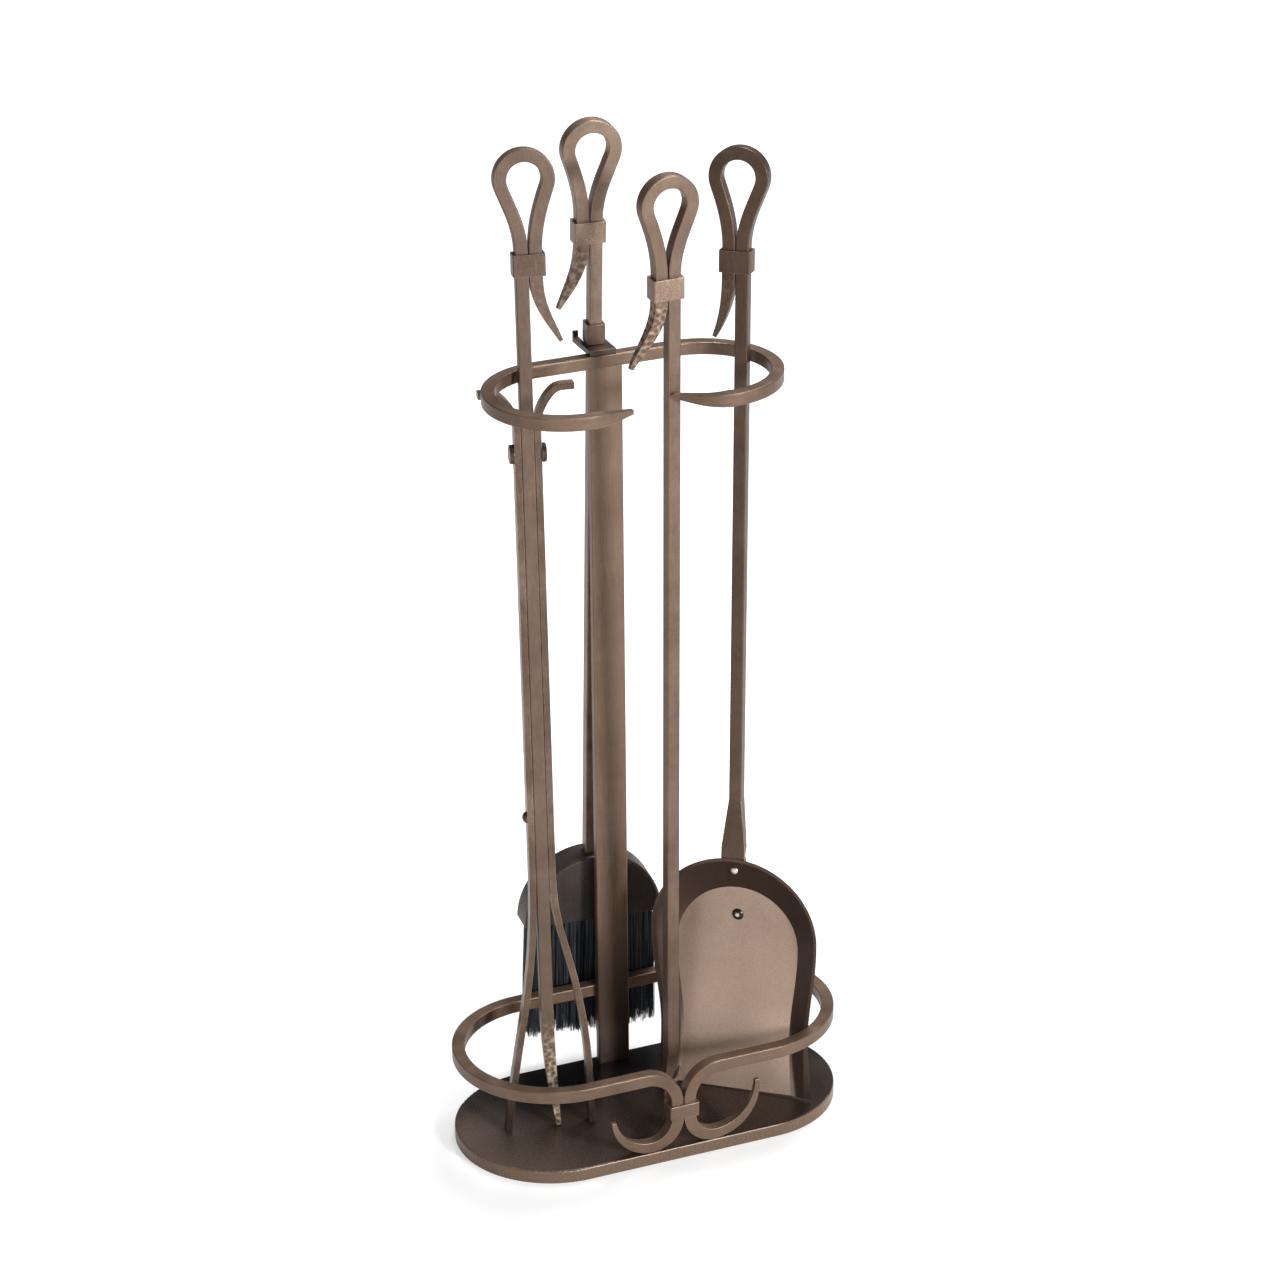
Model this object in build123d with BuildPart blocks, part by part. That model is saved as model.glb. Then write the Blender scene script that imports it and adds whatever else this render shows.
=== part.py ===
from build123d import *
from math import atan2, cos, hypot, radians, sin
import os

# Fireplace tool set: a stand with a closed lower rail and an open upper rail, and four
# tools that stand or hang in it. Millimetres, +Z up, the floor at Z = 0, the stand's
# middle at X = 0 and its front towards -Y.

# ---------------------------------------------------------------- bar stock and fits
bar = 9.5
bar_round = 0.8
fixed_gap = 0.05
rest_gap = 0.3
strap = 2.0
strap_round = 1.2

# ---------------------------------------------------------------- stand
base_length = 300.0
base_depth = 148.0
base_thick = 10.0
base_round = 1.2
column_width = 25.0
column_thick = 6.0
column_front_y = 62.0
lower_length = 290.0
lower_z = 72.0
upper_length = 213.0
upper_depth = 107.0
upper_z = 588.0
tip_size = 3.2
left_end_reach = 32.0
left_end_inset = 5.0
right_end_reach = 36.0
right_end_inset = 21.3
drop_radius = 24.0
scroll_gap = 0.5
scroll_collar_z = 35.0
scroll_collar_height = 11.0
scroll_foot_size = 8.2
left_curl_reach = 29.0
left_curl_rise = 26.0
right_curl_reach = 35.0
right_curl_rise = 37.0
fork_thick = 4.0
fork_slot = 12.0
fork_prong = 4.0
fork_back = 16.5
fork_tip_rise = 4.5
fork_tip_thick = 1.8

# ---------------------------------------------------------------- handles
loop_width = 44.0
loop_shift = 3.5
loop_drop = 53.0
loop_turn = 20.0
tail_gap = 0.4
collar_height = 16.0
tail_drop = 49.0
tail_tip = 3.0

# ---------------------------------------------------------------- tongs
tongs_foot = (-81.0, -7.0)
tongs_lean = (14.0, 57.3, 578.0)
tongs_turn = -12.0
tongs_length = 747.0
tongs_tail = 17.0
tongs_point = 95.0
tongs_point_bend = 6.5
tongs_tip = 3.6
arm_thick = 4.8
arm_gap = 0.3
arm_spread = 31.7
arm_bow_z = 205.0
arm_foot_lift = 0.4
left_arm_bow = ((0.54, 0.27), (0.23, 0.72))
left_arm_foot_slope = 0.13
left_lever_rise = 28.5
right_arm_bow = ((0.64, 0.47), (0.36, 0.87))
right_arm_foot_slope = 0.02
right_lever_rise = 31.5
lever_z = 543.0
lever_reach = 34.5
pivot_z = 526.0
pivot_size = 6.0
pivot_fit = 0.08
pivot_head = 14.0
pivot_head_height = 3.4
pivot_head_round = 0.8
stud_z = 249.0
stud_size = 4.5
stud_head = 9.0
stud_head_height = 3.2

# ---------------------------------------------------------------- poker
poker_foot = (24.0, 8.0)
poker_lean = (-5.0, -21.0, 576.0)
poker_turn = 2.0
poker_length = 740.0
poker_tail = 22.0
poker_point = 30.0
poker_point_bend = 4.5
poker_tip = 3.6
hook_root_x = -0.7
hook_root_z = 3.9
hook_size = 4.4
hook_reach = 8.0
hook_tip_z = 15.5
hook_tip = 2.0

# ---------------------------------------------------------------- brush
brush_turn = -5.0
brush_lean = (5.3, -14.5, 525.0)
brush_side = -2.5
brush_length = 738.5
brush_tail = 17.0
brush_seat = 570.5
stop_height = 15.0
head_width = 109.0
head_height = 54.0
head_thick = 25.0
head_round = 2.5
head_socket = 26.0
bristle_length = 98.0
bristle_width = 97.0
bristle_depth = 20.0
bristle_root = 3.0
bristle_columns = 40
bristle_rows = 10
bristle_size = 1.3
bristle_tip = 0.9
bristle_flare = 1.03
bristle_trim = 5.0

# ---------------------------------------------------------------- shovel
shovel_foot = (63.5, -20.2)
shovel_lean = (27.3, 46.7, 578.0)
shovel_turn = -40.0
shovel_length = 733.5
shovel_tail = 11.0
pan_wall = 1.5
pan_set_back = 9.0
pan_height = 196.0
pan_flat_height = 166.0
pan_half = 64.5
pan_flat_half = 47.0
pan_low_half = 58.0
pan_lip_half = 60.5
pan_flat_low_half = 42.0
pan_flat_lip_half = 43.5
pan_low_z = 60.0
pan_depth = 18.0
pan_lip_depth = 4.0
tongue_width = 18.0
tongue_thick = 3.5
tongue_end_z = 133.0
neck_rise = 8.0
neck_set_in = 0.5
neck_depth = 6.0
shovel_neck = 36.0
rivet_size = 4.0
rivet_top_along = 0.6
rivet_low_z = 144.0
rivet_low_head = 9.0
rivet_top_head = 6.5
rivet_head_height = 2.2

# ---------------------------------------------------------------- places that follow
lower_rear_y = column_front_y + column_thick + bar / 2
lower_front_y = -base_depth / 2 + bar / 2
lower_radius = (lower_rear_y - lower_front_y) / 2
lower_mid_y = (lower_rear_y + lower_front_y) / 2
lower_arc_x = lower_length / 2 - lower_radius
upper_rear_y = column_front_y + column_thick / 2
upper_front_y = upper_rear_y - upper_depth
upper_radius = upper_depth / 2
upper_mid_y = upper_rear_y - upper_radius
upper_arc_x = upper_length / 2 - upper_radius
scroll_x = (bar + scroll_gap) / 2
curl_radius = scroll_collar_z - base_thick - scroll_foot_size / 2 - fixed_gap
fork_z = upper_z + bar / 2
fork_back_y = upper_rear_y + bar / 2 + bar / 2 + 4.5
seat_z = fork_z + fork_thick
tail_x = bar + tail_gap


def stand_plane(foot, lean, turn, lift):
    """Plane of a tool that stands on the base plate: Z up its shaft, -Y its front."""
    return Plane(
        origin=(foot[0], foot[1], base_thick + lift),
        x_dir=(cos(radians(turn)), sin(radians(turn)), 0),
        z_dir=lean,
    )


def slant(lean):
    """How far a plane leaning like this drops over a millimetre across it."""
    return hypot(lean[0], lean[1]) / lean[2]


tongs_plane = stand_plane(
    tongs_foot, tongs_lean, tongs_turn, rest_gap + bar / 2 * slant(tongs_lean)
)
poker_plane = stand_plane(
    poker_foot, poker_lean, poker_turn, 3 * rest_gap + poker_tip * slant(poker_lean)
)
shovel_plane = stand_plane(
    shovel_foot, shovel_lean, shovel_turn, rest_gap + pan_half * 0.02 + 0.2
)
hang = brush_seat / hypot(*brush_lean)
brush_plane = Plane(
    origin=(
        brush_side - brush_lean[0] * hang,
        fork_back_y - brush_lean[1] * hang,
        seat_z + rest_gap + slant(brush_lean) * (bar / 2 + strap) - brush_lean[2] * hang,
    ),
    x_dir=(cos(radians(brush_turn)), sin(radians(brush_turn)), 0),
    z_dir=brush_lean,
)


# ---------------------------------------------------------------- shared forms
def drawn_out(path, sizes, across):
    """Bar forged to a point along a line: square sections of falling size, lofted."""
    last = len(sizes) - 1
    with BuildPart() as point:
        for step, size in enumerate(sizes):
            where = path @ (step / last)
            along = path % (step / last)
            with BuildSketch(Plane(origin=where, x_dir=across, z_dir=along)):
                Rectangle(size, size)
        loft()
    return point.part


def fall(start, end, steps, hold=1.6):
    """Sizes that leave the start slowly and reach the end at the last step."""
    return [start + (end - start) * (step / steps) ** hold for step in range(steps + 1)]


def dome(size, height):
    """Rivet head on the XY plane: the cap of a ball."""
    ball = (size**2 / 4 + height**2) / (2 * height)
    with BuildPart() as head:
        with Locations((0, 0, height - ball)):
            Sphere(ball)
        split(bisect_by=Plane.XY, keep=Keep.TOP)
    return head.part


def domed_pin(shank, length, head, head_height, heads):
    """Pin along +Z from 0 to its length, with a domed head below, or on both ends."""
    with BuildPart() as pin:
        with Locations((0, 0, length / 2)):
            Cylinder(shank / 2, length)
        ends = (Location((0, 0, 0), (180, 0, 0)), Location((0, 0, length)))
        with Locations(*ends[:heads]):
            add(dome(head, head_height))
    return pin.part


def button_pin(shank, length, head, head_height, head_round):
    """Pin along +Z from 0 to its length, with a flat round head on both ends."""
    with BuildPart() as pin:
        with Locations((0, 0, length / 2)):
            Cylinder(shank / 2, length)
        with Locations((0, 0, -head_height / 2), (0, 0, length + head_height / 2)):
            Cylinder(head / 2, head_height)
        rims = pin.edges().filter_by(GeomType.CIRCLE).group_by(Axis.Z)
        fillet(rims[0] + rims[-1], head_round)
    return pin.part


def handled_bar(length, side, shaft_end, tail_reach):
    """One square bar: shaft, teardrop loop and a tail drawn out beside the shaft."""
    radius = (loop_width - bar) / 2
    middle_x = side * loop_shift
    middle_z = length - loop_width / 2
    collar_top = middle_z - loop_drop
    collar_foot = collar_top - collar_height
    dip = radians(loop_turn)
    shaft_side = (middle_x - side * radius * cos(dip), middle_z - radius * sin(dip))
    tail_side = (middle_x + side * radius * cos(dip), middle_z - radius * sin(dip))
    tail_axis = side * tail_x
    with BuildPart() as piece:
        with BuildLine(Plane.XZ) as run:
            Line((0, shaft_end), (0, collar_top))
            Spline(
                (0, collar_top),
                shaft_side,
                tangents=[(0, 1), (-side * sin(dip), cos(dip))],
            )
            ThreePointArc(shaft_side, (middle_x, middle_z + radius), tail_side)
            Spline(
                tail_side,
                (tail_axis, collar_top),
                tangents=[(-side * sin(dip), -cos(dip)), (0, -1)],
            )
            Line((tail_axis, collar_top), (tail_axis, collar_foot))
        with BuildSketch(Plane.XY.offset(shaft_end)):
            RectangleRounded(bar, bar, bar_round)
        sweep(path=run.line)
        with BuildLine(Plane.XZ, mode=Mode.PRIVATE) as tail:
            Spline(
                (tail_axis, collar_foot),
                (tail_axis + side * tail_reach, collar_foot - tail_drop),
                tangents=[(0, -1), (side * 0.45, -0.9)],
            )
        add(drawn_out(tail.line, fall(bar, tail_tip, 8), (0, 1, 0)))
    return piece.part


def handle_collar(length, side):
    """Flat strap bent round the shaft and the tail under the loop."""
    collar_top = length - loop_width / 2 - loop_drop
    width = 2 * bar + tail_gap
    with BuildPart() as collar:
        middle = (side * tail_x / 2, 0)
        with BuildSketch(Plane.XY.offset(collar_top - collar_height)):
            with Locations(middle):
                RectangleRounded(width + 2 * strap, bar + 2 * strap, strap_round)
                Rectangle(width + 2 * fixed_gap, bar + 2 * fixed_gap, mode=Mode.SUBTRACT)
        extrude(amount=collar_height)
    return collar


def place(piece, plane, name):
    """The piece moved from its own frame to its plane, named and exported."""
    seated = plane.location * piece.part
    seated.label = name
    export_step(seated, f"parts/{name}.step")
    return seated


# ---------------------------------------------------------------- stand
def base_plate():
    with BuildPart() as plate:
        with BuildSketch():
            SlotOverall(base_length, base_depth)
        extrude(amount=base_thick)
        fillet(plate.faces().sort_by(Axis.Z)[-1].edges(), base_round)
    return plate


def column():
    foot_z = base_thick
    top_z = upper_z - bar / 2
    with BuildPart() as post:
        with BuildSketch(Plane.XY.offset(foot_z)):
            with Locations((0, column_front_y + column_thick / 2)):
                RectangleRounded(column_width, column_thick, bar_round)
        extrude(amount=top_z - foot_z)
    return post


def lower_rail(side, reach, rise):
    """Half of the lower rail, from behind the column round to its scroll in front."""
    foot_z = base_thick + scroll_foot_size / 2 + fixed_gap
    with BuildPart() as rail:
        start = (side * scroll_gap / 2, lower_rear_y, lower_z)
        bend = (side * lower_arc_x, lower_rear_y, lower_z)
        front = (side * lower_arc_x, lower_front_y, lower_z)
        drop = (side * (scroll_x + drop_radius), lower_front_y, lower_z)
        upright = (side * scroll_x, lower_front_y, lower_z - drop_radius)
        with BuildLine() as run:
            Line(start, bend)
            ThreePointArc(bend, (side * lower_length / 2, lower_mid_y, lower_z), front)
            Line(front, drop)
            ThreePointArc(
                drop,
                (
                    side * (scroll_x + drop_radius * (1 - sin(radians(45)))),
                    lower_front_y,
                    lower_z - drop_radius * (1 - cos(radians(45))),
                ),
                upright,
            )
            Line(upright, (side * scroll_x, lower_front_y, scroll_collar_z))
        with BuildSketch(Plane(origin=start, x_dir=(0, 0, 1), z_dir=(side, 0, 0))):
            RectangleRounded(bar, bar, bar_round)
        sweep(path=run.line)
        foot_x = side * (scroll_x + curl_radius)
        with BuildLine(Plane.XZ.offset(-lower_front_y), mode=Mode.PRIVATE) as turn:
            ThreePointArc(
                (side * scroll_x, scroll_collar_z),
                (
                    side * (scroll_x + curl_radius * (1 - cos(radians(45)))),
                    scroll_collar_z - curl_radius * sin(radians(45)),
                ),
                (foot_x, foot_z),
            )
        curl_size = (reach**2 + rise**2) / (2 * rise)
        half_turn = atan2(reach, curl_size - rise) / 2
        with BuildLine(Plane.XZ.offset(-lower_front_y), mode=Mode.PRIVATE) as curl:
            ThreePointArc(
                (foot_x, foot_z),
                (
                    foot_x + side * curl_size * sin(half_turn),
                    foot_z + curl_size * (1 - cos(half_turn)),
                ),
                (foot_x + side * reach, foot_z + rise),
            )
        add(drawn_out(turn.line, fall(bar, scroll_foot_size, 4, 1), (0, 1, 0)))
        add(drawn_out(curl.line, fall(scroll_foot_size, tip_size, 7, 1.2), (0, 1, 0)))
    return rail


def lower_rail_collar():
    with BuildPart() as collar:
        width = 2 * bar + scroll_gap
        with BuildSketch(Plane.XY.offset(scroll_collar_z)):
            with Locations((0, lower_front_y)):
                RectangleRounded(width + 2 * strap, bar + 2 * strap, strap_round)
                Rectangle(width + 2 * fixed_gap, bar + 2 * fixed_gap, mode=Mode.SUBTRACT)
        extrude(amount=scroll_collar_height)
    return collar


def upper_rail():
    with BuildPart() as rail:
        with BuildLine(Plane.XY.offset(upper_z)) as ring:
            ThreePointArc(
                (-upper_arc_x, upper_front_y),
                (-upper_length / 2, upper_mid_y),
                (-upper_arc_x, upper_rear_y),
            )
            Line((-upper_arc_x, upper_rear_y), (upper_arc_x, upper_rear_y))
            ThreePointArc(
                (upper_arc_x, upper_rear_y),
                (upper_length / 2, upper_mid_y),
                (upper_arc_x, upper_front_y),
            )
        run = ring.line
        with BuildSketch(Plane(origin=run @ 0, x_dir=(0, 0, 1), z_dir=run % 0)):
            RectangleRounded(bar, bar, bar_round)
        sweep(path=run)
        for side, reach, inset in (
            (-1, left_end_reach, left_end_inset),
            (1, right_end_reach, right_end_inset),
        ):
            with BuildLine(mode=Mode.PRIVATE) as end:
                Spline(
                    (side * upper_arc_x, upper_front_y, upper_z),
                    (side * (upper_arc_x - reach), upper_front_y + inset, upper_z),
                    tangents=[(-side, 0, 0), (-side * reach, inset * 1.3, 0)],
                )
            add(drawn_out(end.line, fall(bar, tip_size, 8, 1.3), (0, 0, 1)))
    return rail


def brush_fork():
    """Flat fork on the upper rail, open to the back, with upturned tips."""
    front_y = upper_rear_y - bar / 2 + 1.0
    back_y = fork_back_y + fork_back
    half = fork_slot / 2 + fork_prong
    with BuildPart() as fork:
        with BuildSketch(Plane.XY.offset(fork_z)):
            with Locations((brush_side, (front_y + back_y) / 2)):
                Rectangle(2 * half, back_y - front_y)
            with Locations((brush_side, fork_back_y + fork_back)):
                Rectangle(fork_slot, 2 * fork_back + fork_slot, mode=Mode.SUBTRACT)
        extrude(amount=fork_thick)
        with BuildSketch(Plane.XY.offset(fork_z + fork_thick)):
            for side in (-1, 1):
                tip_x = brush_side + side * (half - fork_prong / 2)
                with Locations((tip_x, back_y - fork_tip_thick / 2)):
                    Rectangle(fork_prong, fork_tip_thick)
        extrude(amount=fork_tip_rise)
    return fork


# ---------------------------------------------------------------- tongs
def tongs_bar():
    with BuildPart() as piece:
        add(handled_bar(tongs_length, 1, tongs_point, tongs_tail))
        with BuildLine(Plane.XZ, mode=Mode.PRIVATE) as point:
            Spline(
                (0, tongs_point),
                (tongs_point_bend, 0),
                tangents=[(0, -1), (0.12, -1)],
            )
        add(drawn_out(point.line, fall(bar, tongs_tip, 8, 1.8), (0, 1, 0)))
        with Locations(Location((0, 0, pivot_z), (0, 90, 0))):
            Cylinder(pivot_size / 2 + pivot_fit, 2 * bar, mode=Mode.SUBTRACT)
    return piece


def tongs_arm(side, bows, foot_slope, lever_rise):
    """Flat arm flush beside the shaft, bowed out below and bent to a lever above."""
    flush_x = bar / 2 + arm_gap + arm_thick / 2
    bow = arm_spread - flush_x
    top_x = lever_reach - flush_x
    with BuildPart() as arm:
        with BuildLine(Plane.XZ) as run:
            upper, lower = [(side * (flush_x + bow * out), arm_bow_z * up) for up, out in bows]
            Spline(
                (side * arm_spread, arm_foot_lift),
                lower,
                upper,
                (side * flush_x, arm_bow_z),
                tangents=[(-side * foot_slope, 1), (0, 1)],
            )
            Line((side * flush_x, arm_bow_z), (side * flush_x, lever_z))
            Spline(
                (side * flush_x, lever_z),
                (side * (flush_x + top_x * 0.11), lever_z + lever_rise * 0.53),
                (side * (flush_x + top_x * 0.46), lever_z + lever_rise * 0.93),
                (side * lever_reach, lever_z + lever_rise),
                tangents=[(0, 1), (side, 0)],
            )
        with BuildSketch(Plane(origin=run.line @ 0, x_dir=(0, 1, 0), z_dir=run.line % 0)):
            Rectangle(bar, arm_thick)
        sweep(path=run.line)
        with Locations(Location((side * flush_x, 0, pivot_z), (0, 90, 0))):
            Cylinder(pivot_size / 2 + fixed_gap, 2 * arm_thick, mode=Mode.SUBTRACT)
        if side < 0:
            with Locations(Location((side * flush_x, 0, stud_z), (0, 90, 0))):
                Cylinder(stud_size / 2 + fixed_gap, 2 * arm_thick, mode=Mode.SUBTRACT)
    return arm


def tongs_pivot():
    half = bar / 2 + arm_gap + arm_thick + fixed_gap
    with BuildPart() as pin:
        with Locations(Location((-half, 0, pivot_z), (0, 90, 0))):
            add(button_pin(pivot_size, 2 * half, pivot_head, pivot_head_height, pivot_head_round))
    return pin


def tongs_stud():
    outer = bar / 2 + arm_gap + arm_thick + fixed_gap
    with BuildPart() as stud:
        with Locations(Location((-outer, 0, stud_z), (0, 90, 0))):
            add(domed_pin(stud_size, arm_thick, stud_head, stud_head_height, 1))
    return stud


# ---------------------------------------------------------------- poker
def poker_bar():
    with BuildPart() as piece:
        add(handled_bar(poker_length, -1, poker_point, poker_tail))
        with BuildLine(Plane.XZ, mode=Mode.PRIVATE) as point:
            Spline(
                (0, poker_point),
                (-poker_point_bend, 0),
                tangents=[(0, -1), (-0.1, -1)],
            )
        add(drawn_out(point.line, fall(bar, poker_tip, 8, 1.2), (0, 1, 0)))
    return piece


def poker_hook():
    """Short pointed hook at the shaft's end, turning out to the right and up."""
    with BuildPart() as hook:
        with BuildLine(Plane.XZ, mode=Mode.PRIVATE) as prong:
            Spline(
                (hook_root_x, hook_root_z),
                (hook_reach, hook_tip_z),
                tangents=[(1, 0.1), (0.25, 1)],
            )
        add(drawn_out(prong.line, fall(hook_size, hook_tip, 6, 1), (0, 1, 0)))
    return hook


# ---------------------------------------------------------------- brush
def brush_head():
    low = bristle_length + bristle_root
    with BuildPart() as head:
        with BuildSketch(Plane.XZ.offset(-head_thick / 2)):
            with BuildLine():
                Line((-head_width / 2, low), (head_width / 2, low))
                ThreePointArc(
                    (head_width / 2, low), (0, low + head_height), (-head_width / 2, low)
                )
            make_face()
        extrude(amount=head_thick)
        fillet(head.edges().filter_by(GeomType.CIRCLE), head_round)
        with BuildSketch(Plane.XY.offset(low + head_height - head_socket)):
            Rectangle(bar + 2 * fixed_gap, bar + 2 * fixed_gap)
        extrude(amount=head_socket * 2, mode=Mode.SUBTRACT)
    return head


def brush_bristles():
    """Strands on a slice of their backing, each its own taper, none crossing."""
    top = bristle_length
    pitch_x = (bristle_width - bristle_size) / (bristle_columns - 1)
    pitch_y = (bristle_depth - bristle_size) / (bristle_rows - 1)
    strands = []
    for column_at in range(bristle_columns):
        for row in range(bristle_rows):
            root_x = (column_at - (bristle_columns - 1) / 2) * pitch_x
            root_y = (row - (bristle_rows - 1) / 2) * pitch_y
            end_z = bristle_trim * ((column_at * 7 + row * 5) % 11) / 10
            root = Plane.XY.offset(top + bristle_root / 2) * Pos(root_x, root_y)
            end = Plane.XY.offset(end_z) * Pos(root_x * bristle_flare, root_y * bristle_flare)
            strands.append(
                Solid.make_loft(
                    [
                        (root * Rectangle(bristle_size, bristle_size)).wire(),
                        (end * Rectangle(bristle_tip, bristle_tip)).wire(),
                    ],
                    ruled=True,
                )
            )
    with BuildPart() as bristles:
        with BuildSketch(Plane.XY.offset(top)):
            Rectangle(bristle_width + 1.0, bristle_depth + 1.0)
        extrude(amount=bristle_root)
        add(strands)
    return bristles


def brush_bar():
    low = bristle_length + bristle_root + head_height - head_socket
    with BuildPart() as piece:
        add(handled_bar(brush_length, -1, low, brush_tail))
    return piece


def brush_stop():
    with BuildPart() as stop:
        with BuildSketch(Plane.XY.offset(brush_seat)):
            RectangleRounded(bar + 2 * strap, bar + 2 * strap, strap_round)
            Rectangle(bar + 2 * fixed_gap, bar + 2 * fixed_gap, mode=Mode.SUBTRACT)
        extrude(amount=stop_height)
    return stop


# ---------------------------------------------------------------- shovel
def pan_outline(plane, half, low_half, lip_half, height):
    """Pan outline: arched top, sides drawn in a little, straight lip at the bottom."""
    arch_z = height - half
    with BuildSketch(plane) as outline:
        with BuildLine():
            ThreePointArc((half, arch_z), (0, height), (-half, arch_z))
            Spline(
                (-half, arch_z),
                (-low_half, pan_low_z),
                (-lip_half, 0),
                tangents=[(0, -1), (-0.06, -1)],
            )
            Line((-lip_half, 0), (lip_half, 0))
            Spline(
                (lip_half, 0),
                (low_half, pan_low_z),
                (half, arch_z),
                tangents=[(-0.06, 1), (0, 1)],
            )
        make_face()
    return outline.sketch


def pan_form(forward):
    """Solid between the pan's back and its rim plane, moved forward by a distance."""
    tilt = (pan_depth - pan_lip_depth) / pan_height
    back = Plane.XZ.offset(-pan_set_back + forward)
    rim = Plane(
        origin=(0, pan_set_back - pan_lip_depth - forward, 0),
        x_dir=(1, 0, 0),
        z_dir=(0, -1, -tilt),
    )
    with BuildPart() as form:
        loft(
            [
                pan_outline(
                    back, pan_flat_half, pan_flat_low_half, pan_flat_lip_half, pan_flat_height
                ),
                pan_outline(rim, pan_half, pan_low_half, pan_lip_half, pan_height),
            ],
            ruled=True,
        )
    return form.part


def flange_frame():
    """Unit run and back-facing normal of the pan's top flange, seen from the side."""
    run_y = -pan_depth
    run_z = pan_height - pan_flat_height
    span = hypot(run_y, run_z)
    return (run_y / span, run_z / span), (run_z / span, -run_y / span), span


def top_rivet_frame():
    run, normal, span = flange_frame()
    along = span * rivet_top_along
    at = (0, pan_set_back + run[0] * along, pan_flat_height + run[1] * along)
    return Plane(origin=at, x_dir=(1, 0, 0), z_dir=(0, normal[0], normal[1]))


def low_rivet_frame():
    return Plane(origin=(0, pan_set_back, rivet_low_z), x_dir=(1, 0, 0), z_dir=(0, 1, 0))


def shovel_pan():
    with BuildPart() as pan:
        add(pan_form(0))
        add(pan_form(pan_wall), mode=Mode.SUBTRACT)
        for frame in (top_rivet_frame(), low_rivet_frame()):
            with BuildSketch(frame):
                Circle(rivet_size / 2 + fixed_gap)
            extrude(amount=4 * pan_wall, both=True, mode=Mode.SUBTRACT)
    return pan


def shovel_bar():
    run, normal, span = flange_frame()
    back_y = pan_set_back + fixed_gap
    rim = (pan_set_back - pan_depth + fixed_gap, pan_height + fixed_gap)
    heel = (back_y, pan_flat_height)
    step = tongue_thick
    neck_z = pan_height + neck_rise
    front = rim[0] + neck_set_in
    rear = front + neck_depth
    with BuildPart() as piece:
        add(handled_bar(shovel_length, -1, neck_z + shovel_neck, shovel_tail))
        with BuildSketch(Plane.YZ.offset(-tongue_width / 2)):
            with BuildLine():
                Polyline(
                    (front, neck_z),
                    rim,
                    heel,
                    (back_y, tongue_end_z),
                    (back_y + step, tongue_end_z),
                    (heel[0] + step, heel[1] + step * 0.55),
                    (rim[0] + normal[0] * step, rim[1] + normal[1] * step),
                    (rear, neck_z),
                    close=True,
                )
            make_face()
        extrude(amount=tongue_width)
        with BuildSketch(Plane.XY.offset(neck_z + shovel_neck)):
            Rectangle(bar, bar)
        with BuildSketch(Plane.XY.offset(neck_z)):
            with Locations((0, (front + rear) / 2)):
                Rectangle(tongue_width, rear - front)
        loft()
        for frame in (top_rivet_frame(), low_rivet_frame()):
            with BuildSketch(frame):
                Circle(rivet_size / 2 + fixed_gap)
            extrude(amount=4 * tongue_thick, both=True, mode=Mode.SUBTRACT)
    return piece


def shovel_rivet(frame, head):
    """Rivet with its domed head inside the pan and its shank through the tongue."""
    grip = pan_wall + tongue_thick + fixed_gap
    with BuildPart() as rivet:
        with Locations(frame.offset(-pan_wall - fixed_gap).location):
            add(domed_pin(rivet_size, grip, head, rivet_head_height, 1))
    return rivet


# ---------------------------------------------------------------- build and export
os.makedirs("parts", exist_ok=True)
ground = Plane.XY

place(base_plate(), ground, "base_plate")
place(column(), ground, "column")
place(lower_rail(-1, left_curl_reach, left_curl_rise), ground, "lower_rail_left")
place(lower_rail(1, right_curl_reach, right_curl_rise), ground, "lower_rail_right")
place(lower_rail_collar(), ground, "lower_rail_collar")
place(upper_rail(), ground, "upper_rail")
place(brush_fork(), ground, "brush_fork")

place(tongs_bar(), tongs_plane, "tongs_bar")
place(handle_collar(tongs_length, 1), tongs_plane, "tongs_collar")
place(
    tongs_arm(-1, left_arm_bow, left_arm_foot_slope, left_lever_rise),
    tongs_plane,
    "tongs_arm_left",
)
place(
    tongs_arm(1, right_arm_bow, right_arm_foot_slope, right_lever_rise),
    tongs_plane,
    "tongs_arm_right",
)
place(tongs_pivot(), tongs_plane, "tongs_pivot")
place(tongs_stud(), tongs_plane, "tongs_stud")

place(poker_bar(), poker_plane, "poker_bar")
place(handle_collar(poker_length, -1), poker_plane, "poker_collar")
place(poker_hook(), poker_plane, "poker_hook")

place(brush_bar(), brush_plane, "brush_bar")
place(handle_collar(brush_length, -1), brush_plane, "brush_collar")
place(brush_stop(), brush_plane, "brush_stop")
place(brush_head(), brush_plane, "brush_head")
place(brush_bristles(), brush_plane, "brush_bristles")

place(shovel_bar(), shovel_plane, "shovel_bar")
place(handle_collar(shovel_length, -1), shovel_plane, "shovel_collar")
place(shovel_pan(), shovel_plane, "shovel_pan")
place(shovel_rivet(top_rivet_frame(), rivet_top_head), shovel_plane, "shovel_rivet_top")
place(shovel_rivet(low_rivet_frame(), rivet_low_head), shovel_plane, "shovel_rivet_low")
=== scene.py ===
"""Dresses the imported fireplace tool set: painted bronze bars, plate, ash pan and hearth brush."""

import itertools
import logging
import math
from dataclasses import dataclass
from enum import Enum
from typing import Any

import bmesh
import bpy
import numpy as np
from mathutils import Matrix, Vector


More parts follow.
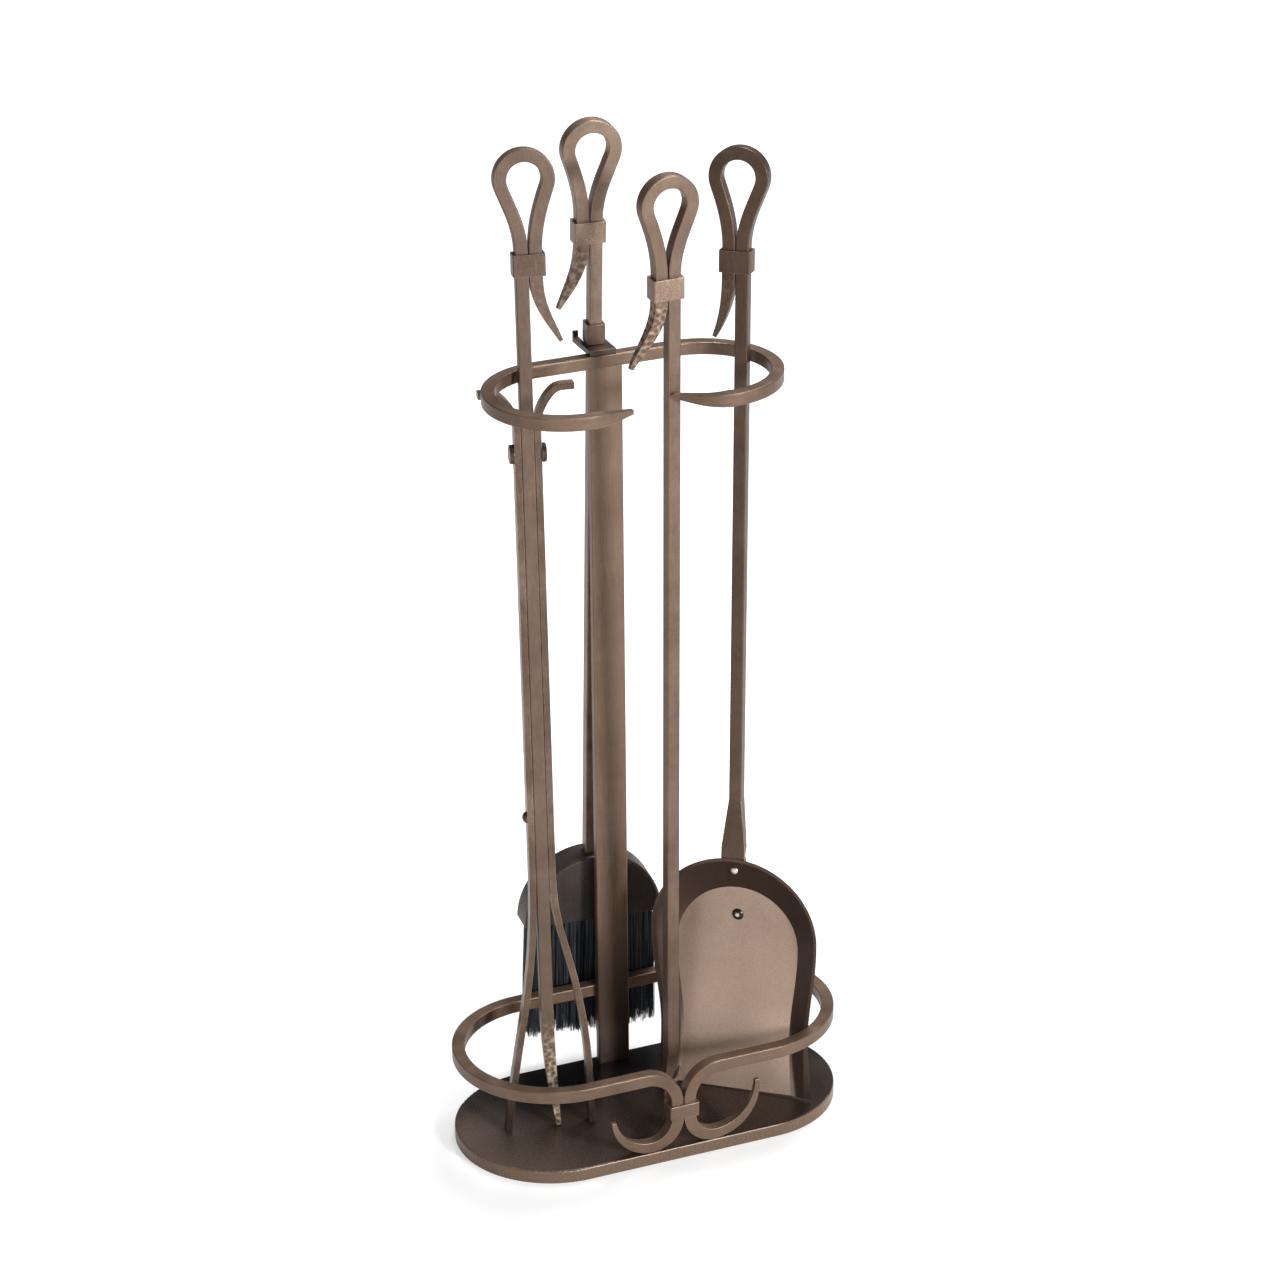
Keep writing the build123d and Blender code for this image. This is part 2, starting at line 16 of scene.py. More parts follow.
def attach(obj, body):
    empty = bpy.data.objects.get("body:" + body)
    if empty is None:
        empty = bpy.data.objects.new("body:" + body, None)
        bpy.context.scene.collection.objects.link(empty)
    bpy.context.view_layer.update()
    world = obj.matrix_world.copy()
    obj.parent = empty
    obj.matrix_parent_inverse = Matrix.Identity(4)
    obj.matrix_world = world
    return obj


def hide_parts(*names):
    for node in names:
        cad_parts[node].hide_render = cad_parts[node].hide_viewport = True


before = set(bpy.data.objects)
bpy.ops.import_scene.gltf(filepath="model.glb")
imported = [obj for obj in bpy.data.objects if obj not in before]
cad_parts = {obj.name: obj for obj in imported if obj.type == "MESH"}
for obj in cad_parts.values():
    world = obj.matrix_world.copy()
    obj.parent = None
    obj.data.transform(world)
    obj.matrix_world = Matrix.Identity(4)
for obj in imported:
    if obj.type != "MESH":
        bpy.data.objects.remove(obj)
log = logging.getLogger("fireplace_tools")

MM = 0.001
WHITE = (1.0, 1.0, 1.0, 1.0)
Triple = tuple[float, float, float]
Stops = list[tuple[float, str]]
Tree = bpy.types.NodeTree
Socket = bpy.types.NodeSocket

BACKWARDS: Triple = (0.0, 1.0, 0.0)
UPWARDS: Triple = (0.0, 0.0, 1.0)

# Settings that several nodes share.
TIMES = {"operation": "MULTIPLY"}
DOT = {"operation": "DOT_PRODUCT"}
SMOOTH = {"interpolation_type": "SMOOTHSTEP"}
COVER = {"data_type": "RGBA"}
DARKEN = {"data_type": "RGBA", "blend_type": "MULTIPLY"}


# ------------------------------------------------------------------ small helpers
def linear(code: str) -> tuple[float, float, float, float]:
    """Turns an sRGB hex colour to the linear colour that a shader takes.

    Args:
        code: six hex digits with a leading hash.

    Returns:
        Linear red, green, blue and an alpha of 1.
    """
    parts = [int(code[i : i + 2], 16) / 255 for i in (1, 3, 5)]
    curve = [p / 12.92 if p <= 0.04045 else ((p + 0.055) / 1.055) ** 2.4 for p in parts]
    return (curve[0], curve[1], curve[2], 1.0)


def add_node(
    tree: Tree,
    kind: str,
    settings: dict[str, Any] | None = None,
    feeds: dict[str | int, Any] | None = None,
    stops: Stops | None = None,
) -> bpy.types.Node:
    """Adds one shader node, sets it, and links or sets its inputs.

    Args:
        tree: the material's node tree.
        kind: the node's type name.
        settings: the node's own properties.
        feeds: input name or number, to a socket to link or a value to set.
        stops: place and hex colour of each stop, in order, where the node has a colour ramp.

    Returns:
        The new node.
    """
    node = tree.nodes.new(kind)
    for key, value in (settings or {}).items():
        setattr(node, key, value)
    for key, value in (feeds or {}).items():
        if isinstance(value, Socket):
            tree.links.new(value, node.inputs[key])
        else:
            node.inputs[key].default_value = value
    if stops:
        elements = node.color_ramp.elements
        while len(elements) < len(stops):
            elements.new(1.0)
        for element, (place, code) in zip(elements, stops):
            element.position = place
            element.color = linear(code)
    return node


def fade(
    tree: Tree, vector: Socket, axis: Triple, start: float, end: float, origin: Triple = (0.0, 0.0, 0.0)
) -> Socket:
    """Measures along an axis and makes a soft mask of the distance.

    Args:
        tree: the material's node tree.
        vector: the place or the normal to measure.
        axis: the direction.
        start: distance where the mask is 0.
        end: distance where the mask is 1, which may be less than the start.
        origin: where the distance is 0.

    Returns:
        The mask's socket.
    """
    shift = add_node(tree, "ShaderNodeVectorMath", {"operation": "SUBTRACT"}, {0: vector, 1: origin})
    reach = add_node(tree, "ShaderNodeVectorMath", DOT, {0: shift.outputs[0], 1: axis})
    feeds = {"Value": reach.outputs["Value"], "From Min": start, "From Max": end}
    return add_node(tree, "ShaderNodeMapRange", SMOOTH, feeds).outputs["Result"]


def grain(
    tree: Tree, place: Socket, size_mm: float, detail: float, stretch: Triple = (1.0, 1.0, 1.0)
) -> Socket:
    """Noise whose patches have a real size.

    Args:
        tree: the material's node tree.
        place: the point on the piece, in metres.
        size_mm: size of a patch.
        detail: how much finer noise lies on top.
        stretch: how much each axis counts, so that a small number draws the pattern out.

    Returns:
        The noise's socket.
    """
    drawn = add_node(tree, "ShaderNodeMapping", feeds={"Vector": place, "Scale": stretch})
    feeds = {
        "Vector": drawn.outputs["Vector"],
        "Scale": 1 / (size_mm * MM),
        "Detail": detail,
        "Roughness": 0.6,
    }
    return add_node(tree, "ShaderNodeTexNoise", feeds=feeds).outputs["Fac"]


def flecked(tree: Tree, colour: Socket, noise: Socket, stops: Stops, amount: float) -> Socket:
    """Darkens a colour in flecks or streaks that follow a noise.

    Args:
        tree: the material's node tree.
        colour: the colour under the flecks.
        noise: where the flecks lie.
        stops: the tints over the noise, white where the colour stays.
        amount: how strongly the flecks show.

    Returns:
        The flecked colour's socket.
    """
    tint = add_node(tree, "ShaderNodeValToRGB", feeds={"Fac": noise}, stops=stops).outputs["Color"]
    return add_node(tree, "ShaderNodeMix", DARKEN, {0: amount, 6: colour, 7: tint}).outputs[2]


def rounded(tree: Tree, radius_mm: float) -> tuple[Socket, Socket]:
    """Softened normal at the edges, and a mask of the edges where a highlight is painted.

    Args:
        tree: the material's node tree.
        radius_mm: radius that the edge seems to have.

    Returns:
        The softened normal's socket and the edge mask's socket.
    """
    normal = add_node(tree, "ShaderNodeNewGeometry").outputs["Normal"]
    soft = add_node(tree, "ShaderNodeBevel", {"samples": 6}, {"Radius": radius_mm * MM}).outputs["Normal"]
    facing = add_node(tree, "ShaderNodeVectorMath", DOT, {0: normal, 1: soft}).outputs["Value"]
    feeds = {"Value": facing, "From Min": 0.985, "From Max": 0.8}
    return soft, add_node(tree, "ShaderNodeMapRange", SMOOTH, feeds).outputs["Result"]


def sheen(tree: Tree, noise: Socket, shiny: float, dull: float) -> Socket:
    """Lets the gloss of a coat change a little from place to place.

    Args:
        tree: the material's node tree.
        noise: where the coat is shiny and where it is dull.
        shiny: lowest roughness.
        dull: highest roughness.

    Returns:
        The roughness's socket.
    """
    feeds = {"Value": noise, "From Min": 0.3, "From Max": 0.7, "To Min": shiny, "To Max": dull}
    return add_node(tree, "ShaderNodeMapRange", feeds=feeds).outputs["Result"]


# ------------------------------------------------------------------ places of the tools
@dataclass(frozen=True)
class ToolFrame:
    """Where a tool stands and leans.

    Attributes:
        foot: point on the shaft's axis at the tool's low end, in metres.
        lean: direction up the shaft, of any length.
        facing: how far the tool is turned from the stand's front, in degrees.
    """

    foot: Triple
    lean: Triple
    facing: float

    @property
    def up(self) -> Triple:
        """Unit vector up the shaft."""
        return tuple(Vector(self.lean).normalized())

    @property
    def across(self) -> Triple:
        """Unit vector to the tool's right, square to its shaft."""
        turn = math.radians(self.facing)
        level, up = Vector((math.cos(turn), math.sin(turn), 0.0)), Vector(self.up)
        return tuple((level - level.dot(up) * up).normalized())

    @property
    def back(self) -> Triple:
        """Unit vector to the tool's back."""
        return tuple(Vector(self.up).cross(Vector(self.across)))

    @property
    def front(self) -> Triple:
        """Unit vector to the tool's front."""
        return tuple(-part for part in self.back)

    def matrix(self) -> Matrix:
        """Works out the matrix from the tool's own frame to the stand's frame.

        Returns:
            The matrix.
        """
        columns = (self.across, self.back, self.up)
        turn = Matrix([[column[row] for column in columns] for row in range(3)])
        return Matrix.Translation(Vector(self.foot)) @ turn.to_4x4()


TONGS = ToolFrame((-0.081, -0.007, 0.010785), (14.0, 57.3, 578.0), -12.0)
POKER = ToolFrame((0.024, 0.008, 0.011035), (-5.0, -21.0, 576.0), 2.0)
BRUSH = ToolFrame((-0.008257, 0.09475, 0.026995), (5.3, -14.5, 525.0), -5.0)
SHOVEL = ToolFrame((0.0635, -0.0202, 0.01179), (27.3, 46.7, 578.0), -40.0)


class GrainRun(Enum):
    """Which way a bar's brushing runs, as how much the pattern counts along X, Y and Z."""

    UPRIGHT = (1.0, 1.0, 0.035)
    LEVEL = (0.05, 0.05, 1.0)


@dataclass(frozen=True)
class HammeredZone:
    """Parts of a tool's bar that the hammer drew out: the tail, and the point if any.

    Attributes:
        tool: the tool's frame.
        side: 1 where the tail is at the right of the shaft, -1 at the left.
        tail_top: height up the shaft where the tail leaves the collar, in metres.
        point_top: height up the shaft where the drawn-out point starts, in metres, or 0.
        tint_share: how strongly the tail's hammer tones show, ridges painted pale as glints and worn
            metal.
        point_tint_share: the same for the point.
        dented: how deep the hammer marks on the tail are, next to those on the point.
        tail_length: length of the tail below the collar, in metres.
    """

    tool: ToolFrame
    side: int
    tail_top: float
    point_top: float = 0.0
    tint_share: float = 0.3
    point_tint_share: float = 0.8
    dented: float = 1.0
    tail_length: float = 70 * MM

    def tail(self, tree: Tree, place: Socket) -> Socket:
        """Masks the tail below the collar, clear of the shaft beside it.

        Args:
            tree: the material's node tree.
            place: the point on the piece, in metres.

        Returns:
            The mask's socket.
        """
        foot, up = self.tool.foot, self.tool.up
        outwards = tuple(self.side * part for part in self.tool.across)
        tip = self.tail_top - self.tail_length
        beside = fade(tree, place, outwards, 4.6 * MM, 6.2 * MM, foot)
        below = fade(tree, place, up, self.tail_top + 2 * MM, self.tail_top - 8 * MM, foot)
        above = fade(tree, place, up, tip, tip + 10 * MM, foot)
        drop = add_node(tree, "ShaderNodeMath", TIMES, {0: beside, 1: below}).outputs[0]
        return add_node(tree, "ShaderNodeMath", TIMES, {0: drop, 1: above}).outputs[0]

    def point(self, tree: Tree, place: Socket) -> Socket:
        """Masks the drawn-out point at the tool's foot.

        Args:
            tree: the material's node tree.
            place: the point on the piece, in metres.

        Returns:
            The mask's socket.
        """
        return fade(tree, place, self.tool.up, self.point_top, self.point_top * 0.55, self.tool.foot)


# ------------------------------------------------------------------ finishes
@dataclass(frozen=True)
class Finish:
    """Starts and closes a node material; each real finish paints it in its own way.

    Attributes:
        name: the material's name.
    """

    name: str

    def paint(self, tree: Tree, place: Socket) -> bpy.types.Node:
        """Adds the finish's nodes.

        Args:
            tree: the material's node tree.
            place: the point on the piece, in metres.

        Returns:
            The shader node.
        """
        raise NotImplementedError

    def build(self) -> bpy.types.Material:
        """Builds the material.

        Returns:
            The material, ready to be put in a slot.
        """
        material = bpy.data.materials.new(self.name)
        material.use_nodes = True
        tree = material.node_tree
        tree.nodes.clear()
        place = add_node(tree, "ShaderNodeTexCoord").outputs["Object"]
        shader = self.paint(tree, place)
        add_node(tree, "ShaderNodeOutputMaterial", feeds={"Surface": shader.outputs[0]})
        return material


@dataclass(frozen=True)
class BurnishedBronze(Finish):
    """Bronze-brown enamel sprayed on forged square steel bar, brushed and rubbed back by hand.

    The coat is satin and a little metallic, so flat faces hold a soft sheen, and the edges carry
    a paler line, a painted highlight. Drawn-out ends keep their hammer marks, painted pale on the ridges.

    Attributes:
        run: which way the brushing runs.
        hammered: the parts of the bar with hammer marks, if any.
        dark: darkest tone of the mottled paint.
        middle: its middle tone.
        light: its lightest tone.
        edge_highlight: colour of the pale line painted along the edges as their highlight.
        streak: tint of the brushing's darkest streaks.
        fleck: tint of the spray's darkest flecks.
        metallic: how metallic the coat is.
        roughness: how rough the coat is.
        mottle_mm: size of the mottled patches.
        brushing_mm: distance between brushed streaks, drawn coarser than real ones to show.
        grit_mm: size of the spray's flecks, drawn coarser than real ones to show.
        speckle: how strongly the flecks show.
        dent_mm: size of a hammer mark.
        edge_mm: radius that the edges seem to have.
        shade_height_mm: height over the floor up to which shade is painted, or 0.
        shade_colour: colour of the painted shade.
        shade_cover: how much of the paint the painted shade hides at the bottom.
    """

    run: GrainRun = GrainRun.UPRIGHT
    hammered: HammeredZone | None = None
    dark: str = "#6A5547"
    middle: str = "#7B6453"
    light: str = "#8A7363"
    edge_highlight: str = "#C4AD98"
    streak: str = "#C9C2BB"
    fleck: str = "#BDB4AC"
    metallic: float = 0.45
    roughness: float = 0.36
    mottle_mm: float = 30.0
    brushing_mm: float = 0.9
    grit_mm: float = 0.9
    speckle: float = 0.25
    dent_mm: float = 3.4
    edge_mm: float = 0.9
    shade_height_mm: float = 0.0
    shade_colour: str = "#33271F"
    shade_cover: float = 0.88

    def coat(self, tree: Tree, mottle: Socket, brushing: Socket, grit: Socket) -> Socket:
        """Lays the mottled paint with its brushed streaks and its flecks.

        Args:
            tree: the material's node tree.
            mottle: the mottled patches' noise.
            brushing: the brushed streaks' noise.
            grit: the flecks' noise.

        Returns:
            The coat's colour socket.
        """
        tones = [(0.22, self.dark), (0.5, self.middle), (0.8, self.light)]
        colour = add_node(tree, "ShaderNodeValToRGB", feeds={"Fac": mottle}, stops=tones).outputs["Color"]
        colour = flecked(tree, colour, brushing, [(0.3, self.streak), (0.7, "#FFFFFF")], 0.5)
        return flecked(tree, colour, grit, [(0.35, self.fleck), (0.62, "#FFFFFF")], self.speckle)

    def hammer(
        self, tree: Tree, place: Socket, zone: HammeredZone, colour: Socket, height: Socket
    ) -> tuple[Socket, Socket]:
        """Dents the drawn-out ends: darker hollows, and ridges painted pale as glints and worn metal.

        Args:
            tree: the material's node tree.
            place: the point on the piece, in metres.
            zone: the parts that the hammer drew out.
            colour: the coat's colour.
            height: the coat's own relief.

        Returns:
            The colour and the relief with the hammer marks.
        """
        feeds = {"Vector": place, "Scale": 1 / (self.dent_mm * MM), "Smoothness": 0.5}
        dents = add_node(
            tree, "ShaderNodeTexVoronoi", {"feature": "SMOOTH_F1"}, feeds
        ).outputs["Distance"]
        # Painted glints: the pale stops paint the dent ridges as glints and as worn metal.
        tail_tones = [(0.1, "#3F3128"), (0.45, "#6B5647"), (0.8, "#BFA78E")]
        point_tones = [(0.12, "#4B3B30"), (0.5, "#8F7862"), (0.75, "#D5C4A8")]
        ends = [(zone.tail(tree, place), zone.tint_share, zone.dented, tail_tones)]
        if zone.point_top:
            ends.append((zone.point(tree, place), zone.point_tint_share, 1.0, point_tones))
        for mask, tint_share, dented, tones in ends:
            hammered_tone = add_node(tree, "ShaderNodeValToRGB", feeds={"Fac": dents}, stops=tones)
            share = add_node(tree, "ShaderNodeMath", TIMES, {0: mask, 1: tint_share}).outputs[0]
            feeds = {0: share, 6: colour, 7: hammered_tone.outputs["Color"]}
            colour = add_node(tree, "ShaderNodeMix", COVER, feeds).outputs[2]
            depth = add_node(tree, "ShaderNodeMath", TIMES, {0: mask, 1: dented}).outputs[0]
            feeds = {0: dents, 1: depth, 2: height}
            height = add_node(tree, "ShaderNodeMath", {"operation": "MULTIPLY_ADD"}, feeds).outputs[0]
        return colour, height

    def paint(self, tree: Tree, place: Socket) -> bpy.types.Node:
        """Adds the paint, the painted edge highlight, the hammer marks and the low painted shade.

        Args:
            tree: the material's node tree.
            place: the point on the piece, in metres.

        Returns:
            The shader node.
        """
        mottle = grain(tree, place, self.mottle_mm, 4.0)
        brushing = grain(tree, place, self.brushing_mm, 3.0, self.run.value)
        grit = grain(tree, place, self.grit_mm, 2.0)
        colour = self.coat(tree, mottle, brushing, grit)
        # Painted highlight: the edges are painted paler as their highlight, more in some patches than in
        # others.
        soft, edge = rounded(tree, self.edge_mm)
        feeds = {"Value": mottle, "From Min": 0.28, "From Max": 0.62}
        patches = add_node(tree, "ShaderNodeMapRange", SMOOTH, feeds).outputs["Result"]
        share = add_node(tree, "ShaderNodeMath", TIMES, {0: edge, 1: patches}).outputs[0]
        feeds = {0: share, 6: colour, 7: linear(self.edge_highlight)}
        colour = add_node(tree, "ShaderNodeMix", COVER, feeds).outputs[2]
        rough = add_node(tree, "ShaderNodeMath", {"operation": "ADD"}, {0: brushing, 1: grit})
        height = add_node(tree, "ShaderNodeMath", TIMES, {0: rough.outputs[0], 1: 0.06}).outputs[0]
        if self.hammered is not None:
            colour, height = self.hammer(tree, place, self.hammered, colour, height)
        # Painted shade: the bar is painted darker towards the floor, where shade falls.
        if self.shade_height_mm:
            low = fade(tree, place, UPWARDS, self.shade_height_mm * MM, self.shade_height_mm * 0.2 * MM)
            share = add_node(tree, "ShaderNodeMath", TIMES, {0: low, 1: self.shade_cover}).outputs[0]
            feeds = {0: share, 6: colour, 7: linear(self.shade_colour)}
            colour = add_node(tree, "ShaderNodeMix", COVER, feeds).outputs[2]
        feeds = {"Strength": 0.6, "Distance": 1.2 * MM, "Height": height, "Normal": soft}
        bump = add_node(tree, "ShaderNodeBump", feeds=feeds)
        feeds = {
            "Base Color": colour,
            "Metallic": self.metallic,
            "Roughness": sheen(tree, brushing, self.roughness - 0.06, self.roughness + 0.08),
            "Normal": bump.outputs["Normal"],
        }
        return add_node(tree, "ShaderNodeBsdfPrincipled", feeds=feeds)


@dataclass(frozen=True)
class PaintedPlate(Finish):
    """Semi-gloss brown enamel on flame-cut steel plate: a smooth top painted dark as shade and a warmer
    cut edge.

    Attributes:
        top: darker tone of the clouded top.
        cloud: lighter tone of the clouded top.
        back: colour of the painted shade at the back of the top.
        front: colour towards the left end of the top.
        wall: colour of the cut edge.
        edge_highlight: colour of the pale line painted along the rim as its highlight.
        metallic: how metallic the coat is.
        roughness: how rough the coat is.
        cloud_mm: size of the clouds.
        grit_mm: size of the spray's grain.
        rim_mm: radius that the rim seems to have.
    """

    top: str = "#382D27"
    cloud: str = "#43362F"
    back: str = "#131110"
    front: str = "#66564C"
    wall: str = "#75604F"
    edge_highlight: str = "#A98F77"
    metallic: float = 0.25
    roughness: float = 0.27
    cloud_mm: float = 70.0
    grit_mm: float = 1.1
    rim_mm: float = 1.1

    def paint(self, tree: Tree, place: Socket) -> bpy.types.Node:
        """Adds the clouded top, the cut edge and its rubbed rim.

        Args:
            tree: the material's node tree.
            place: the point on the piece, in metres.

        Returns:
            The shader node.
        """
        cloud = grain(tree, place, self.cloud_mm, 3.0)
        grit = grain(tree, place, self.grit_mm, 2.0)
        tones = [(0.35, self.top), (0.7, self.cloud)]
        top = add_node(tree, "ShaderNodeValToRGB", feeds={"Fac": cloud}, stops=tones).outputs["Color"]
        # The back of the plate is painted darker as shade, and the top is lighter towards its left end.
        back_shade = fade(tree, place, BACKWARDS, -12 * MM, 35 * MM)
        feeds = {0: back_shade, 6: top, 7: linear(self.back)}
        top = add_node(tree, "ShaderNodeMix", COVER, feeds).outputs[2]
        tint_share = fade(tree, place, (-0.93, -0.37, 0.0), 60 * MM, 150 * MM)
        feeds = {0: tint_share, 6: top, 7: linear(self.front)}
        top = add_node(tree, "ShaderNodeMix", COVER, feeds).outputs[2]
        # Painted shade: the top is painted darker than the cut edge, as the shade on faces that look up.
        normal = add_node(tree, "ShaderNodeNewGeometry").outputs["Normal"]
        feeds = {0: fade(tree, normal, UPWARDS, 0.5, 0.9), 6: linear(self.wall), 7: top}
        colour = add_node(tree, "ShaderNodeMix", COVER, feeds).outputs[2]
        # Painted highlight: a pale line along the rim.
        soft, edge = rounded(tree, self.rim_mm)
        share = add_node(tree, "ShaderNodeMath", TIMES, {0: edge, 1: 0.7}).outputs[0]
        feeds = {0: share, 6: colour, 7: linear(self.edge_highlight)}
        colour = add_node(tree, "ShaderNodeMix", COVER, feeds).outputs[2]
        feeds = {"Strength": 0.08, "Distance": 0.2 * MM, "Height": grit, "Normal": soft}
        bump = add_node(tree, "ShaderNodeBump", feeds=feeds)
        feeds = {
            "Base Color": colour,
            "Metallic": self.metallic,
            "Roughness": sheen(tree, grit, self.roughness - 0.03, self.roughness + 0.06),
            "Normal": bump.outputs["Normal"],
        }
        return add_node(tree, "ShaderNodeBsdfPrincipled", feeds=feeds)


@dataclass(frozen=True)
class PressedSheet(Finish):
    """Metallic brown enamel on pressed steel sheet: a pale speckled flat in a wall painted dark as shade.

    Attributes:
        tool: the frame of the tool that the sheet belongs to.
        flat: lighter tone of the clouded flat.
        cloud: darker tone of the clouded flat.
        low_light: colour low on the flat, painted lighter as the brighter light there.
        wall: colour of the turned-up wall, painted dark as shade, and of the back.
        fleck: tint of the spray's darkest flecks.
        metallic: how metallic the coat is.
        roughness: how rough the coat is.
        cloud_mm: size of the clouds.
        grit_mm: size of the spray's flecks, drawn coarser than real ones to show.
        floor_depth: how far the flat lies behind the tool's frame, in metres.
        low_light_from: height up the shaft where the painted light starts, in metres.
        low_light_to: height where the painted light is full, in metres.
    """

    tool: ToolFrame = SHOVEL
    flat: str = "#B39B8A"
    cloud: str = "#A68E7E"
    low_light: str = "#D2B7A4"
    wall: str = "#54433A"
    fleck: str = "#CFC6BE"
    metallic: float = 0.5
    roughness: float = 0.33
    cloud_mm: float = 50.0
    grit_mm: float = 1.0
    floor_depth: float = 7.5 * MM
    low_light_from: float = 135 * MM
    low_light_to: float = 60 * MM

    def paint(self, tree: Tree, place: Socket) -> bpy.types.Node:
        """Adds the pale flat, the wall painted dark as shade, and the speckle of the sprayed paint.

        Args:
            tree: the material's node tree.
            place: the point on the piece, in metres.

        Returns:
            The shader node.
        """
        cloud = grain(tree, place, self.cloud_mm, 4.0)
        grit = grain(tree, place, self.grit_mm, 3.0)
        tones = [(0.35, self.cloud), (0.62, self.flat)]
        colour = add_node(tree, "ShaderNodeValToRGB", feeds={"Fac": cloud}, stops=tones).outputs["Color"]
        # Painted light: the low part of the flat is painted paler, as the brighter light that falls there.
        tool = self.tool
        low_light_mask = fade(tree, place, tool.up, self.low_light_from, self.low_light_to, tool.foot)
        feeds = {0: low_light_mask, 6: colour, 7: linear(self.low_light)}
        colour = add_node(tree, "ShaderNodeMix", COVER, feeds).outputs[2]
        # Painted shade: all but the flat gets the dark wall colour, which on the wall is painted shade.
        normal = add_node(tree, "ShaderNodeNewGeometry").outputs["Normal"]
        toward = fade(tree, normal, tool.front, 0.86, 0.97)
        low, deep = self.floor_depth - 1.4 * MM, self.floor_depth - 0.4 * MM
        inside = fade(tree, place, tool.back, low, deep, tool.foot)
        flat = add_node(tree, "ShaderNodeMath", TIMES, {0: toward, 1: inside}).outputs[0]
        feeds = {0: flat, 6: linear(self.wall), 7: colour}
        colour = add_node(tree, "ShaderNodeMix", COVER, feeds).outputs[2]
        colour = flecked(tree, colour, grit, [(0.32, self.fleck), (0.6, "#FFFFFF")], 0.5)
        feeds = {"Strength": 0.35, "Distance": 0.25 * MM, "Height": grit}
        bump = add_node(tree, "ShaderNodeBump", feeds=feeds)
        feeds = {
            "Base Color": colour,
            "Metallic": self.metallic,
            "Roughness": sheen(tree, grit, self.roughness - 0.05, self.roughness + 0.06),
            "Normal": bump.outputs["Normal"],
        }
        return add_node(tree, "ShaderNodeBsdfPrincipled", feeds=feeds)


@dataclass(frozen=True)
class RivetHead(Finish):
    """Cold-headed steel rivet: its crown is painted bright as a highlight, its skirt keeps the dark paint.

    Attributes:
        tool: the frame of the tool that the rivet belongs to.
        crown: colour of the highlight painted on the crown.
        skirt: colour of the painted skirt.
        crown_from: how squarely a face must look forwards to count as the crown.
        metallic: how metallic the head is.
        grit_mm: size of the scratches, drawn coarser than real ones to show.
    """

    tool: ToolFrame = SHOVEL
    crown: str = "#DDD2C6"
    skirt: str = "#2C231E"
    crown_from: float = 0.93
    metallic: float = 0.4
    grit_mm: float = 0.6

    def paint(self, tree: Tree, place: Socket) -> bpy.types.Node:
        """Adds the highlight painted on the crown and the dark skirt.

        Args:
            tree: the material's node tree.
            place: the point on the piece, in metres.

        Returns:
            The shader node.
        """
        grit = grain(tree, place, self.grit_mm, 2.0)
        # Painted highlight: faces that look forwards get the bright crown colour.
        normal = add_node(tree, "ShaderNodeNewGeometry").outputs["Normal"]
        crown = fade(tree, normal, self.tool.front, self.crown_from, self.crown_from + 0.05)
        feeds = {0: crown, 6: linear(self.skirt), 7: linear(self.crown)}
        colour = add_node(tree, "ShaderNodeMix", COVER, feeds).outputs[2]
        feeds = {
            "Base Color": colour,
            "Metallic": self.metallic,
            "Roughness": sheen(tree, grit, 0.2, 0.34),
        }
        return add_node(tree, "ShaderNodeBsdfPrincipled", feeds=feeds)


@dataclass(frozen=True)
class BristleFibre(Finish):
    """Black extruded nylon bristle: a dark, slightly cool thread with a narrow gloss.

    Attributes:
        root: tone of the darkest strands.
        middle: tone of most strands.
        pale: tone of the strands that catch the light.
        strand_mm: width over which the tone changes.
        roughness: how rough a strand is.
    """

    root: str = "#212529"
    middle: str = "#31363B"
    pale: str = "#525963"
    strand_mm: float = 1.4
    roughness: float = 0.42

    def paint(self, tree: Tree, place: Socket) -> bpy.types.Node:
        """Adds the change of tone from strand to strand.

        Args:
            tree: the material's node tree.
            place: the point on the piece, in metres.

        Returns:
            The shader node.
        """
        strand = grain(tree, place, self.strand_mm, 1.0, (1.0, 1.0, 0.03))
        tones = [(0.4, self.root), (0.58, self.middle), (0.76, self.pale)]
        colour = add_node(tree, "ShaderNodeValToRGB", feeds={"Fac": strand}, stops=tones)
        feeds = {"Base Color": colour.outputs["Color"], "Roughness": self.roughness}
        return add_node(tree, "ShaderNodeBsdfPrincipled", feeds=feeds)


def pale_collar(name: str) -> bpy.types.Material:
    """Builds the pale coat of a collar, whose heavy flecks give it a grainy look.

    Args:
        name: the material's name.

    Returns:
        The material.
    """
    coat = BurnishedBronze(name, dark="#92796A", middle="#A68E7E", light="#B8A292", speckle=0.8)
    return coat.build()


# ------------------------------------------------------------------ sub-assemblies
def dress(material: bpy.types.Material, *nodes: str) -> None:
    """Puts a material in every slot of the nodes, which keep their shapes.

    Args:
        material: the finish that they get.
        nodes: the nodes' names.
    """
    for node in nodes:
        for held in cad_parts[node].material_slots:
            held.material = material
        log.info("dressed %s in %s", node, material.name)


